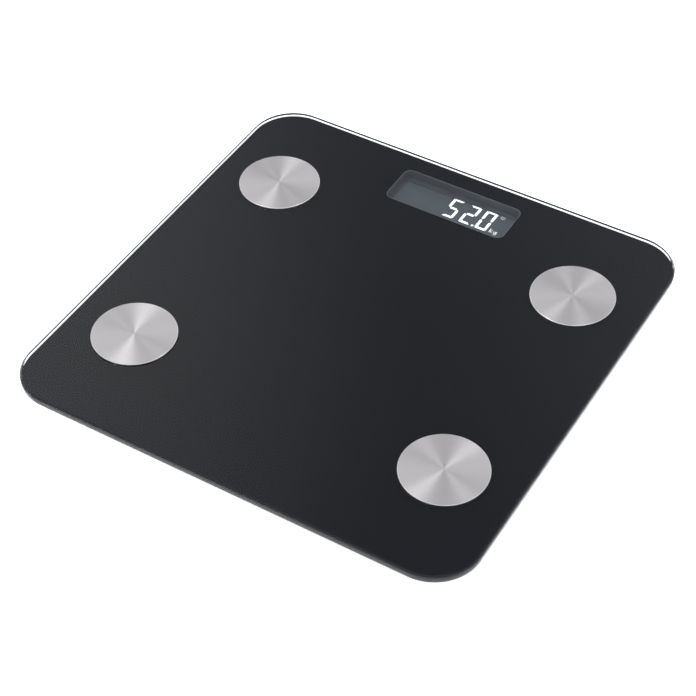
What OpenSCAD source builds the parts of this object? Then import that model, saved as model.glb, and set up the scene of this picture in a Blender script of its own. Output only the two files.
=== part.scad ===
// Digital body-composition bathroom scale, in millimetres.
// Origin: on the floor under the middle of the platform. +X is the user's right,
// +Y points to the display edge and +Z is up.

/* [Platform] */
// Width of the glass platform, left to right
platform_w = 260; // [230:1:320]
// Depth of the glass platform, front to back
platform_d = 260; // [230:1:320]
// Thickness of the tempered glass
glass_t = 5; // [4:0.5:8]
// Corner radius of the glass
corner_r = 25; // [18:1:40]
// Ground chamfer round the glass edges
arris = 0.8; // [0.3:0.1:1.5]
// Thickness of the black printed safety film under the glass
film_t = 0.2; // [0.1:0.1:0.5]
// Thickness of the double-sided tape between film and tray
tape_t = 0.8; // [0.4:0.1:1.5]
// Width of the tape round the rim
tape_w = 4.5; // [3:0.5:6]

/* [Electrodes] */
// Diameter of each stainless electrode
electrode_d = 45; // [30:1:60]
// Thickness of the electrode disc
electrode_t = 0.8; // [0.5:0.1:1.5]
// Distance from the electrode centres to the left and right edges of the glass
electrode_margin_x = 39.5; // [30:0.5:60]
// Distance from the electrode centres to the front and back edges of the glass
electrode_margin_y = 61; // [58:0.5:75]
// Diameter of the stud behind each electrode
stud_d = 4; // [3:0.5:5]
// Thickness of the adhesive ring under each electrode
seal_t = 0.2; // [0.1:0.1:0.5]

/* [Display] */
// Width of the clear window in the printed film
window_w = 73; // [50:1:80]
// Height of the clear window in the printed film
window_h = 27; // [20:0.5:28]
// Corner radius of the window
window_r = 4.5; // [2:0.5:8]
// Gap from the window to the back edge of the glass
window_margin = 11.5; // [11.5:0.5:20]
// Width of the liquid crystal glass
lcd_w = 76; // [52:1:84]
// Thickness of the liquid crystal glass
lcd_t = 2; // [1:0.1:2.5]
// Thickness of the backlight
backlight_t = 1.4; // [1:0.1:2]

/* [Tray] */
// How far the tray's top rim stays inside the glass edge
rim_inset = 5; // [4:0.5:6]
// How far the tray's floor stays inside the glass edge
floor_inset = 13; // [10:0.5:16]
// Height of the upright band at the tray's rim
rim_band = 3; // [2:0.5:4]
// Wall thickness of the tray
wall = 2; // [1.6:0.2:3]
// Floor thickness of the tray
floor_t = 2; // [1.8:0.1:3]
// Width of each square corner pod
pod_w = 41.4; // [39:0.2:46]
// How far the pods reach below the tray floor
pod_drop = 1.5; // [0.5:0.1:2]

/* [Feet] */
// Height of the pods above the floor
foot_proud = 5; // [4:0.5:7]
// Diameter of each foot
foot_d = 32; // [26:1:34]
// Travel of each foot up to its overload stop
foot_travel = 0.5; // [0.3:0.1:0.8]
// Thickness of the rubber pad under each foot
pad_t = 1.6; // [1:0.1:2.5]
// Width of the square load cell
cell_w = 28; // [22:1:29]
// Thickness of the load cell's steel plate
cell_t = 2.5; // [1.5:0.1:3]

/* [Batteries] */
// Diameter of one battery (AAA)
battery_d = 10.2; // [10:0.1:14.5]
// Length of one battery without its positive cap
battery_l = 43.3; // [40:0.1:50]
// Thickness of the battery door
door_t = 1.8; // [1.2:0.1:1.9]
// Thickness of the roof over the battery bay
bay_roof_t = 1; // [0.8:0.1:1.5]

/* [Board] */
// Width of the main board
board_w = 100; // [90:1:120]
// Depth of the main board
board_d = 41; // [36:1:44]
// Thickness of the main board
board_t = 1.2; // [0.8:0.1:1.6]
// Depth of the display's face below the tray's rim
lcd_depth = 5; // [4.2:0.1:5.2]
// Diameter of the unit button
button_d = 8; // [6:0.5:12]
// Travel of the unit button
button_travel = 0.4; // [0.2:0.1:0.5]

/* [Hidden] */
$fn = 64;

// Corner signs: front left, front right, back left, back right
FL = [-1, -1];
FR = [1, -1];
BL = [-1, 1];
BR = [1, 1];
CORNERS = [FL, FR, BL, BR];

// General clearances
slip = 0.2;         // between pieces that drop into each other
part_gap = 0.1;     // between faces that only meet
touch = 0.02;       // between a moving or loose piece and what it rests on
bite = 0.01;        // overlap that makes a cut run past a face

// Heights, from the floor up
pod_z = foot_proud;
tray_z = pod_z + pod_drop;
floor_top = tray_z + floor_t;
battery_gap = 0.3;
battery_z = tray_z + door_t + battery_gap + battery_d / 2;
bay_top = battery_z + battery_d / 2 + battery_gap;
tray_top = bay_top + bay_roof_t;
film_z = tray_top + tape_t;
glass_z = film_z + film_t;
glass_top = glass_z + glass_t;
disc_z = glass_top + seal_t;

// Tray profile
rim_w = platform_w - 2 * rim_inset;
rim_d = platform_d - 2 * rim_inset;
rim_r = corner_r - rim_inset;
base_w = platform_w - 2 * floor_inset;
base_d = platform_d - 2 * floor_inset;
base_r = corner_r - floor_inset;
flange_w = tape_w + 2;
flange_t = 1.5;

// Window and display stack
window_y = platform_d / 2 - window_margin - window_h / 2;
lcd_top = tray_top - lcd_depth;
lcd_z = lcd_top - lcd_t;
backlight_z = lcd_z - backlight_t;
board_z = backlight_z - board_t;
board_gap = board_z - floor_top;
lcd_h = window_h - 3;
view_w = window_w - 4;
view_h = window_h - 7;
view_r = 3;
bezel_wall = 1.1;
bezel_w = window_w + 2 * bezel_wall + 0.2;
bezel_h = window_h + 2 * bezel_wall + 0.2;
bezel_lip = 0.6;

// Board
board_y = platform_d / 2 - floor_inset - wall - board_d / 2;
board_hole_x = board_w / 2 - 5;
board_hole_y = board_d / 2 - 4;
board_screw_d = 2;
standoff_d = 6;
button_x = board_w / 2 - 14;
button_y = board_y - board_d / 2 + 8;

// Electrode stack under the glass
electrode_span_x = platform_w - 2 * electrode_margin_x;
electrode_span_y = platform_d - 2 * electrode_margin_y;
stud_hole_d = stud_d + 1;
washer_t = 0.5;
terminal_t = 0.6;
nut_t = 2.2;
nut_flats = stud_d + 3;
washer_z = film_z - washer_t;
terminal_z = washer_z - terminal_t;
nut_z = terminal_z - nut_t;
stud_z = nut_z - 1;

// Pods, covers, load cells and feet
pod_x = platform_w / 2 - floor_inset - pod_w / 2;
pod_y = platform_d / 2 - floor_inset - pod_w / 2;
pod_side_x = pod_x - pod_w / 2;
pocket_w = pod_w - 2 * wall;
pod_edge_r = 1;
cover_t = 2;
cover_z = pod_z;
rest_d = min(pocket_w - 8, 2 * pod_y - electrode_span_y - stud_d - 7);
rest_w = 2;
foot_hole_d = foot_d + 1;
foot_flange_d = foot_hole_d + 1.4;
foot_flange_t = 0.8;
foot_flange_z = cover_z + cover_t + part_gap;
foot_base_z = 1;
foot_wall = 1.8;
foot_boss_d = 8;
pad_d = foot_d - 4;
cell_z = foot_flange_z + foot_flange_t + foot_travel;
boss_top = cell_z - 0.05;
cell_seat = 1.3;
pod_roof_z = cell_z + cell_t + cell_seat;
pod_roof_t = 1.5;
cell_r = 3;
post_d = 5;
post_at = pocket_w / 2 - post_d / 2 - 0.6;
cover_screw_d = 2.2;
cover_pilot_d = 1.8;
cover_head_d = 4;
screw_head_t = 1.2;
cover_screw_l = 6;
lead_d = 1.6;
lead_hole_d = lead_d + 0.6;

// Battery bay
battery_pitch = battery_d + 0.4;
cap_l = 1.1;
cap_d = 3.8;
spring_room = 5;
plate_t = 0.5;
bay_w = battery_l + cap_l + spring_room + 2 * plate_t;
bay_d = 3 * battery_pitch + 1.6;
bay_x = 0;
bay_y = platform_d / 2 - 110;
bay_wall = 1.5;
ledge = 1;
door_gap = 0.3;
door_w = bay_w + 2 * ledge - 2 * door_gap;
door_d = bay_d + 2 * ledge - 2 * door_gap;
door_r = 2;
tab_w = 4;
tab_reach = 3;
tab_t = 1.6;
tab_y = battery_pitch / 2;
hinge_x = bay_x - door_w / 2;
battery_x = bay_x + (spring_room - cap_l) / 2 - touch;
contact_h = 6.4;
latch_w = 16;
nose_r = 0.7;
nose_x = bay_x + bay_w / 2 - 0.35;
nose_z = tray_z + door_t + 1.4;

// Blank label
label_w = 70;
label_h = 32;
label_y = bay_y - 72;
label_depth = 0.3;
label_t = 0.15;

// ---------- shapes used by several pieces ----------

// Rectangle with true arcs at its corners, centred
module rounded_rect(w, d, r) {
    square([w - 2 * r, d], center = true);
    square([w, d - 2 * r], center = true);
    for (c = CORNERS)
        translate([c.x * (w / 2 - r), c.y * (d / 2 - r)]) circle(r);
}

module slab(w, d, r, h) {
    linear_extrude(h) rounded_rect(w, d, r);
}

// Slab whose four sides slope by grow from bottom to top, outward when grow is positive
module sloped_slab(w, d, r, grow, h) {
    flat_w = w - 2 * r;
    flat_d = d - 2 * r;
    rotate([90, 0, 90]) linear_extrude(flat_w, center = true)
        polygon([[-d / 2, 0], [d / 2, 0], [d / 2 + grow, h], [-d / 2 - grow, h]]);
    rotate([90, 0, 0]) linear_extrude(flat_d, center = true)
        polygon([[-w / 2, 0], [w / 2, 0], [w / 2 + grow, h], [-w / 2 - grow, h]]);
    for (c = CORNERS)
        translate([c.x * flat_w / 2, c.y * flat_d / 2]) cylinder(r1 = r, r2 = r + grow, h = h);
}

// Square with one large corner radius at +X +Y and three small ones
module pod_outline(w, big_r, small_r) {
    h = w / 2;
    difference() {
        rounded_rect(w, w, small_r);
        translate([h - big_r, h - big_r]) square(big_r + 1);
    }
    intersection() {
        translate([h - big_r, h - big_r]) circle(big_r);
        translate([h - big_r - bite, h - big_r - bite]) square(big_r + 1);
    }
}

// Puts a piece drawn with its outer corner towards +X +Y into corner c
module in_corner(c, x, y) {
    mirror([c.x < 0 ? 1 : 0, 0, 0]) mirror([0, c.y < 0 ? 1 : 0, 0]) translate([x, y, 0]) children();
}

module at_electrode(c) {
    translate([c.x * electrode_span_x / 2, c.y * electrode_span_y / 2, 0]) children();
}

module at_board_holes() {
    for (c = CORNERS) translate([c.x * board_hole_x, board_y + c.y * board_hole_y, 0]) children();
}

module ring(outer_d, inner_d, h) {
    linear_extrude(h) difference() {
        circle(d = outer_d);
        circle(d = inner_d);
    }
}

// Pan-head screw with its shank up from z = 0 and a cross slot in its head
module pan_screw(shank_d, head_d, head_t, length) {
    difference() {
        union() {
            translate([0, 0, -head_t]) cylinder(d = head_d, h = head_t);
            cylinder(d = shank_d, h = length);
        }
        for (a = [0, 90]) rotate(a)
            translate([-head_d * 0.3, -0.3, -head_t - bite]) cube([head_d * 0.6, 0.6, head_t * 0.6]);
    }
}

// ---------- swept wires ----------

function unit(v) = v / norm(v);
function spline_point(p, i, t) =
    let (a = p[max(i - 1, 0)], b = p[i], c = p[i + 1], d = p[min(i + 2, len(p) - 1)])
    0.5 * (2 * b + (c - a) * t + (2 * a - 5 * b + 4 * c - d) * t * t
        + (3 * b - a - 3 * c + d) * t * t * t);
function spline(p, steps) = concat(
    [for (i = [0:len(p) - 2], k = [0:steps - 1]) spline_point(p, i, k / steps)],
    [p[len(p) - 1]]
);
function heading(p, i) = unit(p[min(i + 1, len(p) - 1)] - p[max(i - 1, 0)]);
function ring_at(centre, t, r, sides, up) =
    let (u = unit(cross(t, up)), v = cross(u, t))
    [for (k = [0:sides - 1]) centre + r * (cos(360 * k / sides) * u + sin(360 * k / sides) * v)];

// Round wire of radius r along the points of path; up is never along the wire
module wire(path, r, sides = 8, up = [0, 0, 1]) {
    n = len(path);
    rings = [for (i = [0:n - 1]) each ring_at(path[i], heading(path, i), r, sides, up)];
    walls = [for (i = [0:n - 2], k = [0:sides - 1])
        let (a = i * sides + k, b = i * sides + (k + 1) % sides) [a, b, b + sides, a + sides]];
    start = [for (k = [0:sides - 1]) sides - 1 - k];
    end = [for (k = [0:sides - 1]) (n - 1) * sides + k];
    polyhedron(points = rings, faces = concat([start], walls, [end]));
}

// Coil along +X from x = 0, radius shrinking from r0 to r1
function coil(turns, length, r0, r1) = [
    for (i = [0:turns * 12])
        let (t = i / (turns * 12), a = 360 * turns * t, r = r0 + (r1 - r0) * t)
        [length * t, r * cos(a), r * sin(a)]
];

// ---------- platform ----------

module glass_platform() {
    color([0.75, 0.85, 0.85, 0.5]) difference() {
        translate([0, 0, glass_z]) union() {
            sloped_slab(platform_w - 2 * arris, platform_d - 2 * arris, corner_r - arris, arris, arris);
            translate([0, 0, arris]) slab(platform_w, platform_d, corner_r, glass_t - 2 * arris);
            translate([0, 0, glass_t - arris])
                sloped_slab(platform_w, platform_d, corner_r, -arris, arris);
        }
        for (c = CORNERS) at_electrode(c)
            translate([0, 0, glass_z - 1]) cylinder(d = stud_hole_d, h = glass_t + 2);
    }
}

module print_film() {
    color([0.05, 0.05, 0.06]) translate([0, 0, film_z]) linear_extrude(film_t) difference() {
        rounded_rect(platform_w - 2 * arris, platform_d - 2 * arris, corner_r - arris);
        translate([0, window_y]) rounded_rect(window_w, window_h, window_r);
        for (c = CORNERS) at_electrode(c) circle(d = stud_hole_d);
    }
}

module glass_tape() {
    tape_inset = rim_inset + 0.5;
    color("white") translate([0, 0, tray_top]) {
        linear_extrude(tape_t) difference() {
            rounded_rect(platform_w - 2 * tape_inset, platform_d - 2 * tape_inset, corner_r - tape_inset);
            rounded_rect(platform_w - 2 * (tape_inset + tape_w), platform_d - 2 * (tape_inset + tape_w),
                corner_r - tape_inset - tape_w);
        }
        for (c = CORNERS) in_corner(c, pod_x, pod_y) ring(rest_d, rest_d - 2 * rest_w, tape_t);
        translate([bay_x, bay_y]) slab(bay_w - 8, bay_d - 8, 2, tape_t);
    }
}

// ---------- electrodes ----------

module electrode(c) {
    edge = 0.3;
    color([0.78, 0.76, 0.75]) at_electrode(c) {
        translate([0, 0, disc_z]) cylinder(d = electrode_d, h = electrode_t - edge);
        translate([0, 0, disc_z + electrode_t - edge])
            cylinder(d1 = electrode_d, d2 = electrode_d - 2 * edge, h = edge);
        translate([0, 0, stud_z]) cylinder(d = stud_d, h = disc_z - stud_z + bite);
    }
}

module electrode_seals() {
    color([0.08, 0.08, 0.08]) for (c = CORNERS) at_electrode(c)
        translate([0, 0, glass_top]) ring(electrode_d + 0.4, stud_hole_d, seal_t);
}

module electrode_washers() {
    color("silver") for (c = CORNERS) at_electrode(c)
        translate([0, 0, washer_z]) ring(stud_d + 5, stud_d + slip, washer_t);
}

// Ring tongue with its wire barrel towards the middle of the scale
module ring_terminals() {
    color("gold") for (c = CORNERS) at_electrode(c) translate([0, 0, terminal_z]) {
        linear_extrude(terminal_t) difference() {
            union() {
                circle(d = nut_flats + 1);
                translate([-c.x * (nut_flats / 2 + 3), 0]) square([8, 2.4], center = true);
            }
            circle(d = stud_d + slip);
        }
    }
}

module electrode_nuts() {
    color("silver") for (c = CORNERS) at_electrode(c) translate([0, 0, nut_z]) difference() {
        cylinder(d = nut_flats / cos(30), h = nut_t, $fn = 6);
        translate([0, 0, -1]) cylinder(d = stud_d + part_gap, h = nut_t + 2);
    }
}

// Four leads from each side meet at a socket on the board's front edge. Each has its own
// place in the socket and its own lane beside the board: 0 is nearest to the board.
board_front = board_y - board_d / 2;
socket_w = 12;
socket_x = board_w / 2 - 25;
socket_z = board_z + board_t + 2.1;
lead_floor = floor_top + 1.2;
lead_pitch = 2.3;
run_x = pod_side_x - 15.6;
function place_x(k) = socket_x + 1.5 * lead_pitch - k * lead_pitch;
function lane_y(k) = board_front - 2.6 - k * lead_pitch;

// Last part of a lead: along lane k, then into the socket
function into_socket(k) = [
    [place_x(k) + 12, lane_y(k), lead_floor + 1.6],
    [place_x(k) + 3.4, lane_y(k), socket_z - 0.3],
    [place_x(k), lane_y(k) + 3.2, socket_z],
    [place_x(k), board_front + 2, socket_z]
];

electrode_lead_r = 0.6;
electrode_lead_x = electrode_span_x / 2 - nut_flats / 2 - 7.2;
electrode_lead_y = electrode_span_y / 2;
electrode_lead_z = terminal_z + terminal_t / 2;
drop_x = min(electrode_lead_x, pod_side_x + 8);
function electrode_route_back() = concat([
    [electrode_lead_x, electrode_lead_y, electrode_lead_z],
    [electrode_lead_x - 4, electrode_lead_y, electrode_lead_z - 1],
    [drop_x - 10, electrode_lead_y, electrode_lead_z - 5],
    [drop_x - 17, electrode_lead_y, lead_floor + 2.4],
    [board_w / 2, lane_y(1), lead_floor + 1]
], into_socket(1));
function electrode_route_front() = concat([
    [electrode_lead_x, -electrode_lead_y, electrode_lead_z],
    [electrode_lead_x - 4, -electrode_lead_y, electrode_lead_z - 1],
    [electrode_lead_x - 10, -electrode_lead_y + 3, electrode_lead_z - 6],
    [run_x + 4, -electrode_lead_y + 11, lead_floor + 1.5],
    [run_x, -electrode_lead_y + 23, lead_floor],
    [run_x, 0, lead_floor],
    [run_x, lane_y(2) - 24, lead_floor],
    [run_x - 3, lane_y(2) - 8, lead_floor],
    [run_x - 11, lane_y(2), lead_floor + 0.4]
], into_socket(2));

// A route is laid out for the right-hand side and mirrored for the left
function on_side(c, route) = [for (p = route) [c.x * p.x, p.y, p.z]];

module electrode_lead(c) {
    color("white") wire(
        spline(on_side(c, c.y > 0 ? electrode_route_back() : electrode_route_front()), 4), electrode_lead_r);
}

// ---------- tray ----------

module tray_outer() {
    bevel_h = tray_top - rim_band - tray_z;
    translate([0, 0, tray_z])
        sloped_slab(base_w, base_d, base_r, floor_inset - rim_inset, bevel_h);
    translate([0, 0, tray_z + bevel_h]) slab(rim_w, rim_d, rim_r, rim_band);
}

module tray_cavity() {
    bevel_h = tray_top - rim_band - tray_z;
    translate([0, 0, floor_top])
        sloped_slab(base_w - 2 * wall, base_d - 2 * wall, base_r - wall, floor_inset - rim_inset, bevel_h);
    translate([0, 0, floor_top + bevel_h - bite])
        slab(rim_w - 2 * wall, rim_d - 2 * wall, rim_r - wall, tray_top - floor_top - bevel_h + 1);
}

// Flat flange that carries the tape, cut back where the display bezel stands
module tray_flange() {
    translate([0, 0, tray_top - flange_t]) linear_extrude(flange_t) difference() {
        rounded_rect(rim_w - 1, rim_d - 1, rim_r - 0.5);
        rounded_rect(rim_w - 2 * flange_w, rim_d - 2 * flange_w, rim_r - flange_w);
        translate([0, window_y]) square([bezel_w + 2 * slip, bezel_h + 2 * slip], center = true);
    }
}

// Solid part of one corner pod: outer block, pocket walls, roof and load ribs
module pod_body() {
    translate([0, 0, pod_z]) linear_extrude(pod_roof_z + pod_roof_t - pod_z)
        pod_outline(pod_w, base_r, pod_edge_r);
    rib_z = pod_roof_z + pod_roof_t;
    translate([0, 0, rib_z]) ring(rest_d, rest_d - 2 * rest_w, tray_top - rib_z);
    for (a = [0, 90]) rotate(a)
        translate([-rest_d / 2 + 1, -0.8, rib_z]) cube([rest_d - rest_w, 1.6, tray_top - rib_z]);
}

// What is cut from a pod: the pocket, with its screw posts and load cell seat left standing
module pod_cut() {
    difference() {
        translate([0, 0, pod_z - 1]) linear_extrude(pod_roof_z - pod_z + 1)
            pod_outline(pocket_w, base_r - wall, pod_edge_r);
        for (s = [-1, 1])
            translate([s * post_at, -s * post_at, cover_z + cover_t])
                cylinder(d = post_d, h = pod_roof_z);
        translate([0, 0, cell_z + cell_t]) linear_extrude(cell_seat + 1) difference() {
            square(cell_w, center = true);
            square(cell_w - 6, center = true);
        }
    }
    for (s = [-1, 1])
        translate([s * post_at, -s * post_at, cover_z]) cylinder(d = cover_pilot_d, h = cover_screw_l + 1);
    translate([-pocket_w / 2 - wall - 1, 0, cell_z + cell_t / 2])
        rotate([0, 90, 0]) cylinder(d = lead_hole_d, h = wall + 2);
}

// Walls and roof of the battery bay, and the thicker floor frame round its door
module bay_body() {
    translate([bay_x, bay_y, tray_z])
        slab(bay_w + 2 * bay_wall + 2, bay_d + 2 * bay_wall + 2, 2, floor_t);
    translate([bay_x, bay_y, floor_top - bite])
        slab(bay_w + 2 * bay_wall, bay_d + 2 * bay_wall, 1.6, tray_top - floor_top + bite);
}

module bay_cut() {
    seat_z = tray_z + door_t + part_gap;
    tab_sweep = norm([tab_reach, floor_t + tab_t + 0.2]) + 0.4;
    translate([bay_x, bay_y, tray_z - 1])
        slab(bay_w + 2 * ledge, bay_d + 2 * ledge, door_r + door_gap, seat_z - tray_z + 1);
    translate([bay_x, bay_y, seat_z - bite]) slab(bay_w, bay_d, 0.8, bay_top - seat_z + bite);
    // Room for the hook tabs: above the floor lip, and down through the door's seat
    for (s = [-1, 1]) translate([0, bay_y + s * tab_y - tab_w / 2 - 0.4, 0]) {
        translate([hinge_x - tab_reach - 0.6, 0, floor_top])
            cube([tab_reach + 4, tab_w + 0.8, tab_sweep - floor_t]);
        translate([hinge_x - door_gap, 0, seat_z - bite]) cube([3, tab_w + 0.8, floor_top - seat_z + 2 * bite]);
    }
    // Pocket for the latch nose, above a thin lip of the seat
    translate([nose_x - 0.5, bay_y - latch_w / 2 - 0.5, nose_z - nose_r - part_gap])
        cube([3, latch_w + 1, 2 * nose_r + 1]);
    // Finger scoop beside the latch
    translate([bay_x + bay_w / 2 + ledge + 3, bay_y, tray_z - 7.2]) sphere(r = 8.4);
    // Way out for the battery leads
    translate([bay_x + bay_w / 2 - 1, bay_y + bay_d / 2 - 5, bay_top - 4]) cube([bay_wall + 2, 4.4, 2.5]);
}

module tray_floor_cuts() {
    translate([button_x, button_y, tray_z - 1]) cylinder(d = button_d + 2 * slip, h = floor_t + 2);
    translate([button_x, button_y, tray_z - 1]) cylinder(d = button_d + 5, h = 1.5);
    translate([0, label_y, tray_z - 1]) slab(label_w + 1, label_h + 1, 2.5, 1 + label_depth);
}

module board_standoffs() {
    at_board_holes() translate([0, 0, floor_top - bite]) cylinder(d = standoff_d, h = board_gap + bite);
}

// Stiffening ribs on the tray floor
module floor_ribs() {
    rib_h = 3;
    rib_t = 1.6;
    front = 22 - base_d / 2;
    back = bay_y - 35;
    reach = run_x - 10;
    for (x = [-30, 30]) translate([x - rib_t / 2, front, floor_top - bite]) cube([rib_t, back - front, rib_h]);
    for (y = [front + 10, back - 20])
        translate([-reach, y - rib_t / 2, floor_top - bite]) cube([2 * reach, rib_t, rib_h / 2]);
}

module tray() {
    color([0.09, 0.09, 0.1]) difference() {
        union() {
            difference() {
                tray_outer();
                tray_cavity();
            }
            tray_flange();
            for (c = CORNERS) in_corner(c, pod_x, pod_y) pod_body();
            bay_body();
            board_standoffs();
            floor_ribs();
        }
        for (c = CORNERS) in_corner(c, pod_x, pod_y) pod_cut();
        bay_cut();
        tray_floor_cuts();
        at_board_holes() translate([0, 0, floor_top - 1]) cylinder(d = board_screw_d - 0.2, h = board_gap + 2);
    }
}

module rating_label() {
    color("gainsboro") translate([0, label_y, tray_z + label_depth - label_t]) slab(label_w, label_h, 2, label_t);
}

// ---------- display ----------

module lcd_bezel() {
    top = film_z;
    color([0.12, 0.12, 0.13]) difference() {
        translate([0, window_y, lcd_top]) slab(bezel_w, bezel_h, window_r + bezel_wall, top - lcd_top);
        translate([0, window_y, lcd_top - 1]) slab(view_w, view_h, view_r, 2 + bezel_lip);
        translate([0, window_y, lcd_top + bezel_lip])
            slab(window_w + 0.2, window_h + 0.2, window_r + 0.1, top - lcd_top);
    }
}

module lcd_panel() {
    color([0.3, 0.33, 0.36]) translate([-lcd_w / 2, window_y - lcd_h / 2, lcd_z])
        cube([lcd_w, lcd_h, lcd_t]);
}

module lcd_backlight() {
    color("white") translate([-lcd_w / 2 + 3, window_y - lcd_h / 2 + 2, backlight_z]) {
        cube([lcd_w - 6, lcd_h - 4, backlight_t]);
        translate([lcd_w - 6 - bite, (lcd_h - 4) / 2 - 4, 0]) cube([2, 8, backlight_t]);
    }
}

// Elastomer connector between the board and the liquid crystal's contact ledge
module zebra_strip() {
    color("dimgray") translate([-lcd_w / 2 + 4, window_y - lcd_h / 2 + 0.3, backlight_z])
        cube([lcd_w - 8, 1.2, backlight_t]);
}

// ---------- electronics ----------

module main_board() {
    color("darkgreen") translate([0, board_y, board_z]) linear_extrude(board_t) difference() {
        rounded_rect(board_w, board_d, 1.5);
        for (c = CORNERS) translate([c.x * board_hole_x, c.y * board_hole_y]) circle(d = board_screw_d + 0.6);
    }
}

module board_screws() {
    color("silver") at_board_holes() translate([0, 0, board_z + board_t])
        mirror([0, 0, 1]) pan_screw(board_screw_d - 0.3, 3.6, 1.2, board_t + board_gap);
}

module mcu_chip() {
    color([0.05, 0.05, 0.05]) translate([-8, board_front + 12, board_z + board_t]) {
        cylinder(d = 12, h = 0.6);
        translate([0, 0, 0.6 - bite]) cylinder(d = 10, h = 1.2);
    }
}

module wireless_module() {
    color("royalblue") translate([4, board_front + 6.5, board_z + board_t]) {
        cube([17, 11, 0.8]);
        translate([5, 1, 0.8 - bite]) cube([10, 9, 1.6]);
    }
}

// Chip capacitors, a crystal can and a round capacitor
module board_parts() {
    translate([0, board_front, board_z + board_t]) color("tan") {
        for (x = [-16:3:-7]) translate([x, 1.5, 0]) cube([1.6, 3.2, 0.8]);
        translate([-36, 13, 0]) cylinder(d = 5, h = 5.4);
        translate([-23, 12, 0]) slab(9, 3.6, 1.7, 2.6);
    }
}

module lead_sockets() {
    color("ivory") for (s = [-1, 1])
        translate([s * socket_x - socket_w / 2, board_front + 1, board_z + board_t])
            difference() {
                cube([socket_w, 4.5, 4]);
                translate([1, -1, 1]) cube([socket_w - 2, 4.5, 2.2]);
            }
}

switch_h = 0.9;
module tact_switch() {
    color("silver") translate([button_x - 3, button_y - 3, board_z - switch_h]) cube([6, 6, switch_h]);
}

// Cap that the finger presses, held by its flange above the tray floor
module unit_button() {
    flange_t = board_gap - switch_h - button_travel - touch;
    color([0.2, 0.2, 0.21]) translate([button_x, button_y, 0]) {
        translate([0, 0, tray_z - 0.2]) cylinder(d = button_d, h = floor_t + 0.2 + touch);
        translate([0, 0, floor_top + touch]) cylinder(d = button_d + 2, h = flange_t - touch);
    }
}

// ---------- load cells, covers and feet ----------

// Square steel plate with a slotted centre tongue, glued to its seat under the pod roof
module load_cell() {
    slot = 1.4;
    tongue_w = cell_w * 0.36;
    tongue_end = cell_w * 0.2;
    color([0.62, 0.62, 0.64]) translate([0, 0, cell_z]) linear_extrude(cell_t) difference() {
        rounded_rect(cell_w, cell_w, cell_r);
        for (s = [-1, 1])
            translate([-cell_w / 2 + 6, s * (tongue_w / 2 + slot / 2) - slot / 2])
                square([cell_w - 6 - (cell_w / 2 - tongue_end) + slot, slot]);
        translate([tongue_end, -tongue_w / 2 - slot + bite]) square([slot, tongue_w + 2 * slot - 2 * bite]);
    }
}

// Silicone over the strain gauges at each tongue's root
module gauge_caps() {
    color("white") for (c = CORNERS) in_corner(c, pod_x, pod_y)
        translate([-cell_w / 2 + 6.5, 0, cell_z + cell_t]) slab(6, 6, 2, 0.8);
}

module cell_cover() {
    color([0.11, 0.11, 0.12]) difference() {
        translate([0, 0, cover_z]) linear_extrude(cover_t) difference() {
            pod_outline(pocket_w - 2 * slip, base_r - wall - slip, pod_edge_r);
            circle(d = foot_hole_d);
        }
        for (s = [-1, 1]) translate([s * post_at, -s * post_at, cover_z - 1]) {
            cylinder(d = cover_screw_d + 0.3, h = cover_t + 2);
            cylinder(d = cover_head_d + 0.6, h = 1 + screw_head_t);
        }
    }
}

module cover_screws() {
    color("silver") for (c = CORNERS) in_corner(c, pod_x, pod_y) for (s = [-1, 1])
        translate([s * post_at, -s * post_at, cover_z + screw_head_t])
            pan_screw(cover_pilot_d - part_gap, cover_head_d, screw_head_t - 0.1, cover_screw_l - screw_head_t);
}

// Hollow cup with a flange that keeps it in its cover and a boss under the load cell's tongue
module foot() {
    cup_floor = 2;
    color([0.14, 0.14, 0.15]) difference() {
        union() {
            difference() {
                union() {
                    translate([0, 0, foot_base_z]) cylinder(d1 = foot_d - 1, d2 = foot_d, h = 0.5);
                    translate([0, 0, foot_base_z + 0.5])
                        cylinder(d = foot_d, h = foot_flange_z - foot_base_z - 0.5 + bite);
                    translate([0, 0, foot_flange_z]) cylinder(d = foot_flange_d, h = foot_flange_t);
                }
                translate([0, 0, foot_base_z + cup_floor])
                    cylinder(d = foot_d - 2 * foot_wall, h = foot_flange_z);
            }
            translate([0, 0, foot_base_z + cup_floor - bite])
                cylinder(d = foot_boss_d, h = boss_top - foot_base_z - cup_floor + bite);
            for (a = [0, 90]) rotate(a)
                translate([-foot_d / 2 + foot_wall / 2, -0.8, foot_base_z + cup_floor - bite])
                    cube([foot_d - foot_wall, 1.6, foot_flange_z - foot_base_z - cup_floor]);
        }
        translate([0, 0, foot_base_z - 1]) cylinder(d = pad_d + slip, h = 1 + pad_t - foot_base_z);
    }
}

// Anti-slip pad with concentric grooves in its sole
module foot_pad() {
    color([0.06, 0.06, 0.06]) difference() {
        cylinder(d = pad_d, h = pad_t);
        for (d = [pad_d * 0.4, pad_d * 0.7]) translate([0, 0, -bite]) ring(d + 1.2, d, 0.5);
    }
}

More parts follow.
